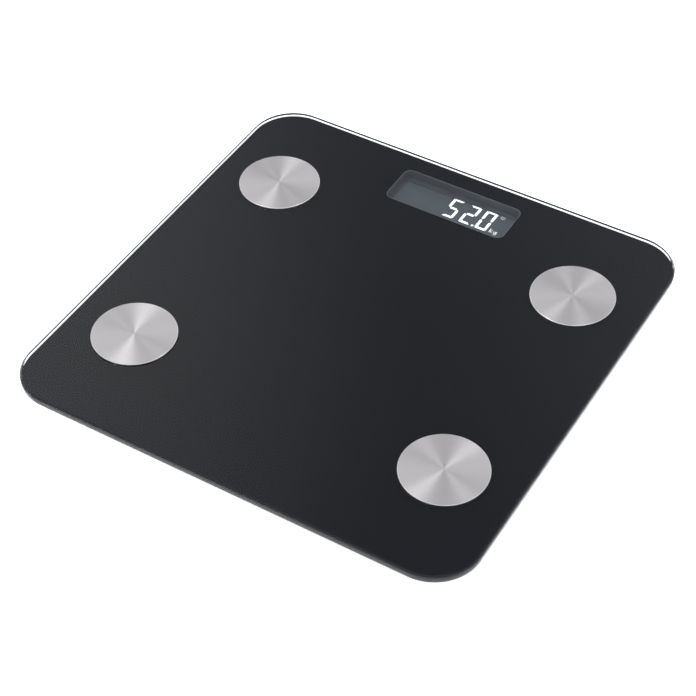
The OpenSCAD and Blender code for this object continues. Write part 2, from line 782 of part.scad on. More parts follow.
// Lead from a load cell, out through the pod's wall and along the floor to the board
cell_lead_x = pod_x - cell_w / 2 - 0.1;
cell_lead_z = cell_z + cell_t / 2;
function cell_route_back() = concat([
    [cell_lead_x, pod_y, cell_lead_z],
    [cell_lead_x - 3, pod_y, cell_lead_z],
    [pod_side_x - 1, pod_y, cell_lead_z],
    [pod_side_x - 6, pod_y - 3, cell_lead_z],
    [board_w / 2 + 9, board_front + 8, lead_floor],
    [board_w / 2 + 2, lane_y(0) + 0.8, lead_floor + 0.2]
], into_socket(0));
function cell_route_front() = concat([
    [cell_lead_x, -pod_y, cell_lead_z],
    [cell_lead_x - 3, -pod_y, cell_lead_z],
    [pod_side_x - 1, -pod_y, cell_lead_z],
    [pod_side_x - 7, -pod_y + 3, cell_lead_z],
    [run_x, -pod_y + 16, lead_floor],
    [run_x - 3, -pod_y + 36, lead_floor],
    [run_x - 3, 0, lead_floor],
    [run_x - 3, lane_y(3) - 24, lead_floor],
    [run_x - 6, lane_y(3) - 9, lead_floor],
    [run_x - 14, lane_y(3), lead_floor + 0.4]
], into_socket(3));

module load_cell_lead(c) {
    color("firebrick") wire(
        spline(on_side(c, c.y > 0 ? cell_route_back() : cell_route_front()), 4), lead_d / 2);
}

// ---------- batteries ----------

// Battery number i, 0 to 2; every second one is turned round
module battery(i) {
    turn = i % 2 == 0 ? 1 : -1;
    body_x = turn > 0 ? battery_x : 2 * bay_x - battery_x;
    color([0.2, 0.22, 0.25]) translate([body_x, bay_y + (i - 1) * battery_pitch, battery_z])
        rotate([0, 90 * turn, 0]) {
            translate([0, 0, -battery_l / 2]) cylinder(d = battery_d, h = battery_l);
            translate([0, 0, battery_l / 2 - bite]) cylinder(d = cap_d, h = cap_l + bite);
        }
}

// Side of the bay that the negative end of battery i faces: -1 left, 1 right
function negative_side(i) = i % 2 == 0 ? -1 : 1;

module at_contact(i, side) {
    translate([bay_x + side * (bay_w / 2 - plate_t / 2), bay_y + (i - 1) * battery_pitch, battery_z + 1])
        children();
}

module contact_plate() {
    cube([plate_t - 0.04, 6, contact_h], center = true);
}

module battery_springs() {
    wire_r = 0.3;
    free_l = spring_room - wire_r - 2 * touch;
    color("silver") for (i = [0:2]) {
        side = negative_side(i);
        at_contact(i, side) contact_plate();
        translate([bay_x + side * (bay_w / 2 - plate_t), bay_y + (i - 1) * battery_pitch, battery_z])
            rotate(side > 0 ? 180 : 0) wire(coil(3, free_l, 2.9, 1.9), wire_r, 6, [1, 0, 0]);
    }
}

module battery_plates() {
    color("silver") for (i = [0:2]) at_contact(i, -negative_side(i)) contact_plate();
}

// Lead number s from the bay to the board's supply pads
function battery_route(s) =
    let (
        x = bay_x + bay_w / 2,
        y = bay_y + bay_d / 2 - 3.8,
        z = bay_top - 2.8,
        o = 1.7 * s
    )
    [
        [x + 0.2, y + o, z], [x + 4 + o, y + o, z - 0.5], [x + 7 + o, y + 4, z - 4],
        [x + 7 + o, y + 10, lead_floor + 0.5], [x - 4 + o, y + 18 + o, lead_floor],
        [14 + o, board_front - 16 + o, lead_floor], [2.5 + o, board_front - 10 + o, lead_floor + 1],
        [1 + o, board_front - 4, board_z + board_t + 0.4], [1 + o, board_front + 2, board_z + board_t + 0.55]
    ];

module battery_leads() {
    color("red") for (s = [0, 1]) wire(spline(battery_route(s), 4), 0.5);
}

// Door with two hook tabs at its left edge and a sprung latch at its right edge
module battery_door() {
    color([0.1, 0.1, 0.11]) difference() {
        union() {
            translate([bay_x, bay_y, tray_z]) slab(door_w, door_d, door_r, door_t);
            for (s = [-1, 1]) translate([0, bay_y + s * tab_y - tab_w / 2, 0]) {
                translate([hinge_x + 0.3, 0, tray_z + door_t - bite])
                    cube([1.6, tab_w, floor_t - door_t + tab_t + 0.2 + bite]);
                translate([hinge_x - tab_reach, 0, floor_top + 0.2]) cube([tab_reach + 0.4, tab_w, tab_t]);
            }
            translate([nose_x - 0.9, bay_y - latch_w / 2, tray_z + door_t - bite])
                cube([1, latch_w, nose_z + nose_r - tray_z - door_t + bite]);
            translate([nose_x, bay_y, nose_z]) rotate([90, 0, 0])
                cylinder(r = nose_r, h = latch_w, center = true);
        }
        // Grip ridges, cut between the ribs of the thumb patch
        for (k = [-2:2])
            translate([bay_x + door_w / 2 - 9 + 2 * k, bay_y - 7, tray_z - bite]) cube([1, 14, 0.4]);
    }
}

// ---------- the pieces by name ----------

glass_platform();
print_film();
glass_tape();
electrode(FL);  // electrode_fl
electrode(FR);  // electrode_fr
electrode(BL);  // electrode_bl
electrode(BR);  // electrode_br
electrode_seals();
electrode_washers();
ring_terminals();
electrode_nuts();
electrode_lead(FL);  // electrode_lead_fl
electrode_lead(FR);  // electrode_lead_fr
electrode_lead(BL);  // electrode_lead_bl
electrode_lead(BR);  // electrode_lead_br
tray();
lcd_bezel();
lcd_panel();
lcd_backlight();
zebra_strip();
main_board();
mcu_chip();
wireless_module();
board_parts();
tact_switch();
lead_sockets();
board_screws();
unit_button();
in_corner(FL, pod_x, pod_y) load_cell();  // load_cell_fl
in_corner(FR, pod_x, pod_y) load_cell();  // load_cell_fr
in_corner(BL, pod_x, pod_y) load_cell();  // load_cell_bl
in_corner(BR, pod_x, pod_y) load_cell();  // load_cell_br
gauge_caps();
load_cell_lead(FL);  // load_cell_lead_fl
load_cell_lead(FR);  // load_cell_lead_fr
load_cell_lead(BL);  // load_cell_lead_bl
load_cell_lead(BR);  // load_cell_lead_br
in_corner(FL, pod_x, pod_y) cell_cover();  // cell_cover_fl
in_corner(FR, pod_x, pod_y) cell_cover();  // cell_cover_fr
in_corner(BL, pod_x, pod_y) cell_cover();  // cell_cover_bl
in_corner(BR, pod_x, pod_y) cell_cover();  // cell_cover_br
cover_screws();
in_corner(FL, pod_x, pod_y) foot();  // foot_fl
in_corner(FR, pod_x, pod_y) foot();  // foot_fr
in_corner(BL, pod_x, pod_y) foot();  // foot_bl
in_corner(BR, pod_x, pod_y) foot();  // foot_br
in_corner(FL, pod_x, pod_y) foot_pad();  // foot_pad_fl
in_corner(FR, pod_x, pod_y) foot_pad();  // foot_pad_fr
in_corner(BL, pod_x, pod_y) foot_pad();  // foot_pad_bl
in_corner(BR, pod_x, pod_y) foot_pad();  // foot_pad_br
battery_door();
battery(0);  // battery_1
battery(1);  // battery_2
battery(2);  // battery_3
battery_springs();
battery_plates();
battery_leads();
rating_label();
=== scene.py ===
import math

import bmesh
import bpy
from mathutils import Matrix, Vector

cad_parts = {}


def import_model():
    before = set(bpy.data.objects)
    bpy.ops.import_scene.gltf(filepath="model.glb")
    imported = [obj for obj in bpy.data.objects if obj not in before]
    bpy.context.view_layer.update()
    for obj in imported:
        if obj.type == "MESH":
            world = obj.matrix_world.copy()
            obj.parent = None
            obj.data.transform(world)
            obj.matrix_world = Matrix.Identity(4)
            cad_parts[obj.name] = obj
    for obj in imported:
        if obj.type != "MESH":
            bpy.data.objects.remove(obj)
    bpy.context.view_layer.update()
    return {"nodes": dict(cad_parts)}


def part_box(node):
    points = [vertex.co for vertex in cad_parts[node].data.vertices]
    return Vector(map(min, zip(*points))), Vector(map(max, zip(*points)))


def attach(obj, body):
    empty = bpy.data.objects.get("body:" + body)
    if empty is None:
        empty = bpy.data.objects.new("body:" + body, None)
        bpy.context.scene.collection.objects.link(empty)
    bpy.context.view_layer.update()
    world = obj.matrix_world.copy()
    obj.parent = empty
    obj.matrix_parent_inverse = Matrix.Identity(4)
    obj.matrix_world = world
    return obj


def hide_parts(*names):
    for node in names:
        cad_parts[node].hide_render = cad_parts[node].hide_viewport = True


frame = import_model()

MM = 0.001
NOISE_ROUGHNESS = 0.55
FLOW_MARK_MM = 28
SCRATCH_MM = 0.12
DUST = (0.09, 0.085, 0.08)
NODES = frame["nodes"]
ROOT = "platform"
CORNERS = ("fl", "fr", "bl", "br")


# ---------- materials ----------


class Mat:
    """A node material with one Principled shader and short ways to wire textures into it."""

    def __init__(self, name, base, rough=0.5, metal=0.0, **sockets):
        self.m = bpy.data.materials.new(name)
        self.m.use_nodes = True
        self.nt = self.m.node_tree
        self.p = self.nt.nodes["Principled BSDF"]
        self.p.inputs["Base Color"].default_value = (*base, 1)
        self.p.inputs["Roughness"].default_value = rough
        self.p.inputs["Metallic"].default_value = metal
        for socket, value in sockets.items():
            self.p.inputs[socket.replace("_", " ")].default_value = value
        self.bump = None

    def node(self, kind, **props):
        n = self.nt.nodes.new(kind)
        for k, v in props.items():
            setattr(n, k, v)
        return n

    def link(self, a, b):
        self.nt.links.new(a, b)

    def coords(self, scale=(1, 1, 1)):
        t = self.node("ShaderNodeTexCoord")
        m = self.node("ShaderNodeMapping")
        m.inputs["Scale"].default_value = scale
        self.link(t.outputs["Object"], m.inputs["Vector"])
        return m.outputs["Vector"]

    def noise(self, size_mm, detail=3, stretch=(1, 1, 1)):
        n = self.node("ShaderNodeTexNoise")
        n.inputs["Scale"].default_value = 1 / (size_mm * MM)
        n.inputs["Detail"].default_value = detail
        n.inputs["Roughness"].default_value = NOISE_ROUGHNESS
        self.link(self.coords(stretch), n.inputs["Vector"])
        return n.outputs["Fac"]

    def ramp(self, fac, lo, hi, a, b):
        """Maps lo to hi smoothly onto a to b."""
        n = self.node("ShaderNodeMapRange")
        n.interpolation_type = "SMOOTHSTEP"
        for k, v in (("From Min", lo), ("From Max", hi), ("To Min", a), ("To Max", b)):
            n.inputs[k].default_value = v
        self.link(fac, n.inputs["Value"])
        return n.outputs["Result"]

    def mix(self, fac, a, b):
        n = self.node("ShaderNodeMix", data_type="RGBA")
        for sock, v in (("A", a), ("B", b)):
            i = [s for s in n.inputs if s.name == sock and s.type == "RGBA"][0]
            if isinstance(v, tuple):
                i.default_value = (*v, 1)
            else:
                self.link(v, i)
        self.link(fac, n.inputs["Factor"])
        return [s for s in n.outputs if s.type == "RGBA"][0]

    def colour(self, out):
        self.link(out, self.p.inputs["Base Color"])
        return self

    def roughness(self, fac, lo, hi):
        self.link(self.ramp(fac, 0.3, 0.7, lo, hi), self.p.inputs["Roughness"])
        return self

    def height(self, fac, mm):
        """Adds a bump of the given depth on top of any bump before it."""
        b = self.node("ShaderNodeBump")
        b.inputs["Strength"].default_value = 1.0
        b.inputs["Distance"].default_value = mm * MM
        self.link(fac, b.inputs["Height"])
        if self.bump:
            self.link(self.bump, b.inputs["Normal"])
        self.bump = b.outputs["Normal"]
        self.link(self.bump, self.p.inputs["Normal"])
        return self


def shade(c, k):
    """A colour made lighter or darker by a factor."""
    return tuple(min(1, x * k) for x in c)


def plastic(name, base, rough, grain, depth, vary=0.12):
    """Moulded plastic: a fine spark-eroded grain, faint flow marks and uneven gloss."""
    m = Mat(name, base, rough)
    fine = m.noise(grain, 4)
    broad = m.noise(FLOW_MARK_MM, 2)
    flow = m.ramp(broad, 0.3, 0.7, 0, 1)
    m.colour(m.mix(flow, shade(base, 1 - vary), shade(base, 1 + vary)))
    m.roughness(fine, rough - 0.07, rough + 0.09)
    return m.height(fine, depth)


def rubber(name, base, rough=0.7):
    """Matt rubber with a fine grain and patches of dust."""
    m = Mat(name, base, rough)
    fine = m.noise(0.25, 5)
    dust = m.noise(3.5, 4)
    m.colour(m.mix(m.ramp(dust, 0.52, 0.75, 0, 0.35), base, DUST))
    m.roughness(dust, rough - 0.08, rough + 0.1)
    return m.height(fine, 0.03)


def metal(name, base, rough, stretch=(1, 1, 1)):
    """Plain metal with drawn or plated micro-scratches along one direction."""
    m = Mat(name, base, rough, 1.0)
    lines = m.noise(SCRATCH_MM, 4, stretch=stretch)
    spots = m.noise(6, 3)
    m.colour(m.mix(m.ramp(spots, 0.35, 0.7, 0, 1), base, shade(base, 0.86)))
    m.roughness(lines, rough * 0.8, rough * 1.25)
    return m.height(lines, 0.004)


def give(mat, *nodes):
    """Gives CAD nodes a material."""
    for n in nodes:
        o = NODES[n]
        if o.data.materials:
            o.data.materials[0] = mat.m
        else:
            o.data.materials.append(mat.m)


# ---------- meshes ----------

LATHE_STEPS = 128
WINDOW_STEPS = 16
PLATE_STEPS = 48


def add(name, bm, mat, body=ROOT, replaces=(), sharp=30):
    """Makes the bmesh a named piece that rides on a body."""
    bmesh.ops.recalc_face_normals(bm, faces=bm.faces)
    me = bpy.data.meshes.new(name)
    bm.to_mesh(me)
    bm.free()
    me.shade_smooth()
    me.set_sharp_from_angle(angle=math.radians(sharp))
    me.materials.append(mat.m)
    o = bpy.data.objects.new(name, me)
    bpy.context.scene.collection.objects.link(o)
    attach(o, body)
    if replaces:
        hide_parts(*replaces)
    return o


def rounded_outline(w, d, r, cx=0.0, cy=0.0, steps=32):
    """Points of a rounded rectangle, counter-clockwise."""
    pts = []
    for q, (sx, sy) in enumerate(((1, 1), (-1, 1), (-1, -1), (1, -1))):
        ox, oy = cx + sx * (w / 2 - r), cy + sy * (d / 2 - r)
        for i in range(steps + 1):
            a = math.pi / 2 * (q + i / steps)
            pts.append((ox + r * math.cos(a), oy + r * math.sin(a)))
    return pts


def circle(r, cx, cy, steps):
    """Points of a circle, counter-clockwise."""
    turns = [2 * math.pi * i / steps for i in range(steps)]
    return [(cx + r * math.cos(a), cy + r * math.sin(a)) for a in turns]


def loop(bm, pts, z):
    """One vertex for each point, all at height z."""
    return [bm.verts.new((x, y, z)) for x, y in pts]


def bridge(bm, a, b):
    """Joins two closed loops of the same length with a band of faces."""
    n = len(a)
    for i in range(n):
        bm.faces.new((a[i], a[(i + 1) % n], b[(i + 1) % n], b[i]))


def cap(bm, loops):
    """Fills the flat region between an outer loop and any holes."""
    edges = []
    for vs in loops:
        for i in range(len(vs)):
            a, b = vs[i], vs[(i + 1) % len(vs)]
            edges.append(bm.edges.get((a, b)) or bm.edges.new((a, b)))
    bmesh.ops.triangle_fill(bm, use_beauty=True, use_dissolve=False, edges=edges)


def plate(bm, outer, holes, profile):
    """A flat plate with holes.

    outer(inset) and each hole(inset) give outlines. The profile is (inset, z) from bottom to top.
    """
    ends = []
    for shape, sign in [(outer, 1)] + [(h, -1) for h in holes]:
        rows = [loop(bm, shape(sign * i), z) for i, z in profile]
        for a, b in zip(rows, rows[1:]):
            bridge(bm, a, b)
        ends.append((rows[0], rows[-1]))
    cap(bm, [e[0] for e in ends])
    cap(bm, [e[1] for e in ends])


def lathe(bm, profile, cx, cy, steps=LATHE_STEPS):
    """Turns (radius, z) points about a vertical axis; a radius of 0 closes the end."""
    rows = []
    for r, z in profile:
        rows.append([bm.verts.new((cx, cy, z))] if r == 0 else loop(bm, circle(r, cx, cy, steps), z))
    for a, b in zip(rows, rows[1:]):
        if len(a) == 1 and len(b) == 1:
            continue
        if len(a) == 1:
            for i in range(steps):
                bm.faces.new((a[0], b[(i + 1) % steps], b[i]))
        elif len(b) == 1:
            for i in range(steps):
                bm.faces.new((a[i], a[(i + 1) % steps], b[0]))
        else:
            bridge(bm, a, b)


def prism(bm, pts, z0, z1):
    """An outline carried straight up from z0 to z1."""
    a, b = loop(bm, pts, z0), loop(bm, pts, z1)
    bridge(bm, a, b)
    bm.faces.new(a[::-1])
    bm.faces.new(b)


# ---------- sizes that come from the frame ----------

glass_lo, glass_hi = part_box("glass_platform")
print_lo, print_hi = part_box("print_film")
panel_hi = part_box("lcd_panel")[1]
bezel_lo, bezel_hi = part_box("lcd_bezel")
GLASS_W, GLASS_D = glass_hi.x - glass_lo.x, glass_hi.y - glass_lo.y
CORNER_R = 25 * MM
ARRIS = (GLASS_W - (print_hi.x - print_lo.x)) / 2
TOP = glass_hi.z
WINDOW_W, WINDOW_H, WINDOW_R = 73 * MM, 27 * MM, 4.5 * MM
WINDOW_Y = (bezel_lo.y + bezel_hi.y) / 2
STUD_HOLE_R = 2.5 * MM
ELECTRODES = {}
for c in CORNERS:
    lo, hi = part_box("electrode_" + c)
    ELECTRODES[c] = ((lo.x + hi.x) / 2, (lo.y + hi.y) / 2, (hi.x - lo.x) / 2, lo.z, hi.z)


# ---------- glass, print and electrodes ----------

glass = Mat("clear_glass", (0.93, 0.975, 0.965), 0.0, Transmission_Weight=1.0, IOR=1.52)

film = Mat("black_print", (0.0012, 0.0014, 0.0018), 0.55, Specular_IOR_Level=0.0)
speck = film.noise(0.5, 3)
cloud = film.noise(70, 2)
patches = film.ramp(cloud, 0.35, 0.65, 0, 1)
film.colour(film.mix(patches, (0.0020, 0.0045, 0.0105), (0.0028, 0.0056, 0.0125)))
film.roughness(speck, 0.5, 0.62)

EDGE = 0.12 * MM  # width of the round between a ground face and its neighbours
BOND = 0.03 * MM  # how far the print's face sits inside the glass, so that no air shows between them
PRINT_BACK = 0.01 * MM


def glass_outline(inset):
    return rounded_outline(GLASS_W - 2 * inset, GLASS_D - 2 * inset, CORNER_R - inset, steps=PLATE_STEPS)


def print_outline(inset):
    return glass_outline(inset + ARRIS + EDGE * 0.5)


def window_outline(inset):
    w, d = WINDOW_W + 2 * inset, WINDOW_H + 2 * inset
    return rounded_outline(w, d, WINDOW_R + inset, 0, WINDOW_Y, WINDOW_STEPS)


def stud_hole(c, widen=0.5):
    """Outline of a stud's hole, which opens by a share of the inset."""
    x, y = ELECTRODES[c][:2]
    return lambda inset: circle(STUD_HOLE_R + inset * widen, x, y, PLATE_STEPS)


half_profile = [(ARRIS + EDGE * 0.4, 0), (ARRIS, EDGE * 0.35), (EDGE * 0.35, ARRIS), (0, ARRIS + EDGE * 0.6)]
glass_profile = [(inset, glass_lo.z + rise) for inset, rise in half_profile]
glass_profile.append((0, (glass_lo.z + glass_hi.z) / 2))
glass_profile += [(inset, glass_hi.z - rise) for inset, rise in reversed(half_profile)]
bm = bmesh.new()
plate(bm, glass_outline, [stud_hole(c) for c in CORNERS], glass_profile)
add("glass_plate", bm, glass, replaces=["glass_platform"], sharp=34)

bm = bmesh.new()
print_holes = [window_outline] + [stud_hole(c, 0) for c in CORNERS]
plate(bm, print_outline, print_holes, [(0, print_lo.z + PRINT_BACK), (0, glass_lo.z + BOND)])
add("print_layer", bm, film, replaces=["print_film"])

steel = Mat("turned_steel", (0.72, 0.69, 0.685), 0.42, 1.0, Anisotropic=0.9, Anisotropic_Rotation=0.25)
tangent = steel.node("ShaderNodeTangent", direction_type="RADIAL", axis="Z")
steel.link(tangent.outputs["Tangent"], steel.p.inputs["Tangent"])

RING_SPAN = 45  # the disc is this wide in the noise's own units, one for each millimetre


def lathe_marks(m):
    """Fine rings about the object's own middle, as turning leaves them."""
    t = m.node("ShaderNodeTexCoord")
    c = m.node("ShaderNodeVectorMath", operation="MULTIPLY_ADD")
    c.inputs[1].default_value = (RING_SPAN, RING_SPAN, 0)
    c.inputs[2].default_value = (-RING_SPAN / 2, -RING_SPAN / 2, 0)
    m.link(t.outputs["Generated"], c.inputs[0])
    d = m.node("ShaderNodeVectorMath", operation="LENGTH")
    m.link(c.outputs["Vector"], d.inputs[0])
    n = m.node("ShaderNodeTexNoise", noise_dimensions="1D")
    n.inputs["Scale"].default_value = 5.5
    n.inputs["Detail"].default_value = 5
    n.inputs["Roughness"].default_value = 0.75
    m.link(d.outputs["Value"], n.inputs["W"])
    return n.outputs["Fac"]


rings = lathe_marks(steel)
mottle = steel.noise(5, 3)
tone = steel.mix(steel.ramp(rings, 0.35, 0.65, 0, 1), (0.67, 0.645, 0.64), (0.76, 0.735, 0.73))
steel.colour(steel.mix(steel.ramp(mottle, 0.45, 0.75, 0, 0.3), tone, (0.68, 0.66, 0.655)))
steel.roughness(rings, 0.385, 0.455)

rim_steel = metal("rim_steel", (0.86, 0.85, 0.84), 0.24)
RIM = 0.42 * MM  # radius of the rounded edge
RIM_IN = RIM * 0.75  # the disc and the rim meet this far in from the edge
RIM_ANGLES = (0, 0.35, 0.75, 1.15, 1.4)
STUD_R, STUD_TIP_R, STUD_CHAMFER = 2.0 * MM, 1.7 * MM, 0.3 * MM
DISC_GAP = 0.2 * MM  # between the glass and the underside of the disc
DISC_SKIRT = 0.3 * MM

for c, (x, y, r, lo, hi) in ELECTRODES.items():
    under = TOP + DISC_GAP
    seam = (r - RIM_IN, hi - 0.004 * MM)
    face = [
        seam,
        (r - 0.6 * MM, hi),
        (r * 0.6, hi - 0.01 * MM),
        (r * 0.3, hi - 0.015 * MM),
        (0.5 * MM, hi - 0.02 * MM),
        (0, hi - 0.05 * MM),
    ]
    bm = bmesh.new()
    lathe(bm, [(r - RIM_IN, hi - DISC_SKIRT)] + face, x, y)
    add("electrode_disc_" + c, bm, steel, replaces=["electrode_" + c], sharp=40)
    stud = [(0, lo), (STUD_TIP_R, lo), (STUD_R, lo + STUD_CHAMFER), (STUD_R, under)]
    edge = [(r - 0.1 * MM, under), (r, under + 0.08 * MM)]
    rim = [(r - RIM + RIM * math.cos(a), hi - RIM + RIM * math.sin(a)) for a in RIM_ANGLES]
    bm = bmesh.new()
    lathe(bm, stud + edge + rim + [seam], x, y)
    add("electrode_rim_" + c, bm, rim_steel, sharp=40)
# Black rubber seals under the discs; the dark outline they show round each disc is partly painted shade,
# standing in for the shadowed gap under the disc's edge.
give(rubber("seal_rubber", (0.012, 0.012, 0.012), 0.6), "electrode_seals")


# ---------- display ----------


def glowing(name, base, rough, glow, strength):
    """A material that gives off a little light of its own."""
    return Mat(name, base, rough, Emission_Color=(*glow, 1), Emission_Strength=strength)


def symbol(name, base, glow, strength):
    """A lit part of the display."""
    m = glowing(name, base, 0.5, glow, strength)
    return m.roughness(m.noise(0.4, 2), 0.45, 0.6)


lcd = glowing("lcd_face", (0.075, 0.09, 0.10), 0.32, (0.60, 0.80, 1.0), 0.04)
haze = lcd.noise(9, 2)
grit = lcd.noise(0.3, 2)
lcd.colour(lcd.mix(lcd.ramp(haze, 0.35, 0.65, 0, 1), (0.070, 0.084, 0.094), (0.082, 0.097, 0.108)))
lcd.roughness(grit, 0.27, 0.36)
give(lcd, "lcd_panel")

lit = symbol("lit_segment", (0.9, 0.92, 0.95), (0.97, 0.99, 1.0), 1.25)
soft = symbol("soft_symbol", (0.7, 0.72, 0.75), (0.95, 0.98, 1.0), 0.9)
dim = symbol("dim_symbol", (0.5, 0.53, 0.56), (0.9, 0.95, 1.0), 0.5)

# The digits' sizes and places are in mm. A segment is SEG wide and ends GAP short of the next.
DIGIT_W, DIGIT_H, SEG, GAP = 6.9, 15.8, 1.5, 0.28
SLANT = math.tan(math.radians(1.2))
SEGMENTS = {"0": "abcdef", "2": "abged", "5": "afgcd"}


def segment_shapes(w, h, t, g):
    """Outlines of the seven segments of a digit w wide and h high."""
    m = h / 2
    f, e = g * 0.4, t * 0.35
    return {
        "a": [(g, h), (w - g, h), (w - t - f, h - t), (t + f, h - t)],
        "d": [(g, 0), (t + f, t), (w - t - f, t), (w - g, 0)],
        "f": [(0, h - g), (t, h - t - g), (t, m + t * 0.5 + g), (t * 0.5, m + g), (0, m + e + g)],
        "e": [(0, g), (0, m - e - g), (t * 0.5, m - g), (t, m - t * 0.5 - g), (t, t + g)],
        "b": [(w, h - g), (w, m + e + g), (w - t * 0.5, m + g), (w - t, m + t * 0.5 + g), (w - t, h - t - g)],
        "c": [(w, g), (w - t, t + g), (w - t, m - t * 0.5 - g), (w - t * 0.5, m - g), (w, m - e - g)],
        "g": [(t * 0.6 + g, m), (t + g, m + t / 2), (w - t - g, m + t / 2), (w - t * 0.6 - g, m),
              (w - t - g, m - t / 2), (t + g, m - t / 2)],
    }


def on_lcd(pts, x, y):
    """Slants an outline in mm and moves it to its place on the display."""
    return [((x + px + py * SLANT) * MM, (y + py) * MM) for px, py in pts]


SEG_Z0, SEG_Z1 = panel_hi.z, panel_hi.z + 0.05 * MM
BASE_Y = 99.5
DIGITS = (("5", -4.5), ("2", 6.1), ("0", 16.1))
POINT_X, POINT = 14.0, 1.3
shapes = segment_shapes(DIGIT_W, DIGIT_H, SEG, GAP)
bm = bmesh.new()
for digit, x in DIGITS:
    for s in SEGMENTS[digit]:
        prism(bm, on_lcd(shapes[s], x, BASE_Y), SEG_Z0, SEG_Z1)
prism(bm, on_lcd([(0, 0), (POINT, 0), (POINT, POINT), (0, POINT)], POINT_X, BASE_Y), SEG_Z0, SEG_Z1)
add("lcd_digits", bm, lit)


def bar(x0, y0, x1, y1, t):
    """Outline of a stroke t thick between two points."""
    d = Vector((x1 - x0, y1 - y0)).normalized() * t / 2
    return [(x0 - d.y, y0 + d.x), (x0 + d.y, y0 - d.x), (x1 + d.y, y1 - d.x), (x1 - d.y, y1 + d.x)]


def ring_prism(bm, cx, cy, r, t):
    """A flat ring t wide on the display, with its sizes in mm."""
    corners = ((r, SEG_Z0), (r, SEG_Z1), (r - t, SEG_Z1), (r - t, SEG_Z0))
    rows = [loop(bm, circle(q * MM, cx * MM, cy * MM, 32), z) for q, z in corners]
    for i in range(4):
        bridge(bm, rows[i], rows[(i + 1) % 4])


K_AT, G_AT, G_RING_AT = (25.0, 99.9), (27.95, 100.1), (28.2, 100.9)
K_STROKES = (bar(0, 0, 0, 3.2, 0.42), bar(0.35, 1.05, 1.5, 2.2, 0.4), bar(0.55, 1.25, 1.6, 0.05, 0.4))
G_STROKES = (bar(1.15, 1.9, 1.15, -0.75, 0.38), bar(0.95, -0.85, -0.15, -0.85, 0.36))
bm = bmesh.new()
for stroke in K_STROKES:
    prism(bm, on_lcd(stroke, *K_AT), SEG_Z0, SEG_Z1)
ring_prism(bm, *G_RING_AT, 0.9, 0.34)
for stroke in G_STROKES:
    prism(bm, on_lcd(stroke, *G_AT), SEG_Z0, SEG_Z1)
add("lcd_unit_sign", bm, soft)

STATUS_X, STATUS_Y = 26.6, 114.0
bm = bmesh.new()
ring_prism(bm, STATUS_X, STATUS_Y, 1.3, 0.3)
prism(bm, on_lcd(bar(0, -0.7, 0, 0.9, 0.3), STATUS_X - 0.05, STATUS_Y), SEG_Z0 + 0.001 * MM, SEG_Z1)
add("lcd_status_ring", bm, dim)

give(plastic("bezel_plastic", (0.10, 0.105, 0.13), 0.5, 0.3, 0.015), "lcd_bezel")

# A thin lip of the frame, much lighter than the frame's own plastic, shows just inside the window in the
# print; its light grey is a painted highlight on the frame's inner wall.
LIP_W = 0.45 * MM
LIP_OVERLAP = 0.1 * MM
LIP_LOW, LIP_HIGH = 0.005 * MM, 0.1 * MM


def lip_outline(inset):
    w, d = WINDOW_W + LIP_OVERLAP - 2 * inset, WINDOW_H + LIP_OVERLAP - 2 * inset
    return rounded_outline(w, d, WINDOW_R - inset, 0, WINDOW_Y, WINDOW_STEPS)


# The lip's light grey is painted highlight, not the colour of the frame's plastic.
lip = plastic("window_lip_painted_highlight", (0.26, 0.27, 0.29), 0.4, 0.4, 0.01)
bm = bmesh.new()
lip_holes = [lambda inset: lip_outline(LIP_W)]
plate(bm, lip_outline, lip_holes, [(0, print_lo.z + LIP_LOW), (0, print_lo.z + LIP_HIGH)])
add("window_frame_lip_highlight", bm, lip)

guide = glowing("light_guide", (0.85, 0.88, 0.92), 0.25, (0.8, 0.9, 1), 0.15)
guide.height(guide.noise(0.8, 2), 0.02)
give(guide, "lcd_backlight")

zebra = Mat("zebra_rubber", (0.2, 0.18, 0.16), 0.6)
stripes = zebra.node("ShaderNodeTexWave", wave_type="BANDS", bands_direction="X")
stripes.inputs["Scale"].default_value = 3000
zebra.link(zebra.coords(), stripes.inputs["Vector"])
zebra.colour(zebra.mix(stripes.outputs["Fac"], (0.05, 0.05, 0.05), (0.35, 0.30, 0.26)))
give(zebra, "zebra_strip")


# ---------- case ----------


def each(prefix):
    """The names of the four nodes with a prefix, one for each corner."""
    return [prefix + c for c in CORNERS]


give(plastic("tray_plastic", (0.022, 0.023, 0.026), 0.5, 0.45, 0.03), "tray")
give(plastic("cover_plastic", (0.027, 0.028, 0.031), 0.46, 0.4, 0.025), *each("cell_cover_"))
give(plastic("door_plastic", (0.027, 0.028, 0.031), 0.46, 0.4, 0.025), "battery_door")
give(plastic("foot_plastic", (0.034, 0.035, 0.038), 0.38, 0.8, 0.01), *each("foot_"))
give(rubber("pad_rubber", (0.016, 0.016, 0.016)), *each("foot_pad_"))
give(plastic("button_plastic", (0.07, 0.07, 0.076), 0.33, 0.7, 0.008), "unit_button")
give(plastic("foam_tape", (0.72, 0.72, 0.70), 0.8, 0.6, 0.08, 0.05), "glass_tape")

label = Mat("label_foil", (0.52, 0.53, 0.54), 0.38, 0.6)
streak = label.noise(0.25, 3, stretch=(0.04, 1, 1))
label.colour(label.mix(label.ramp(streak, 0.35, 0.65, 0, 1), (0.48, 0.49, 0.50), (0.58, 0.59, 0.60)))
label.roughness(streak, 0.32, 0.46)
give(label, "rating_label")


# ---------- inside ----------

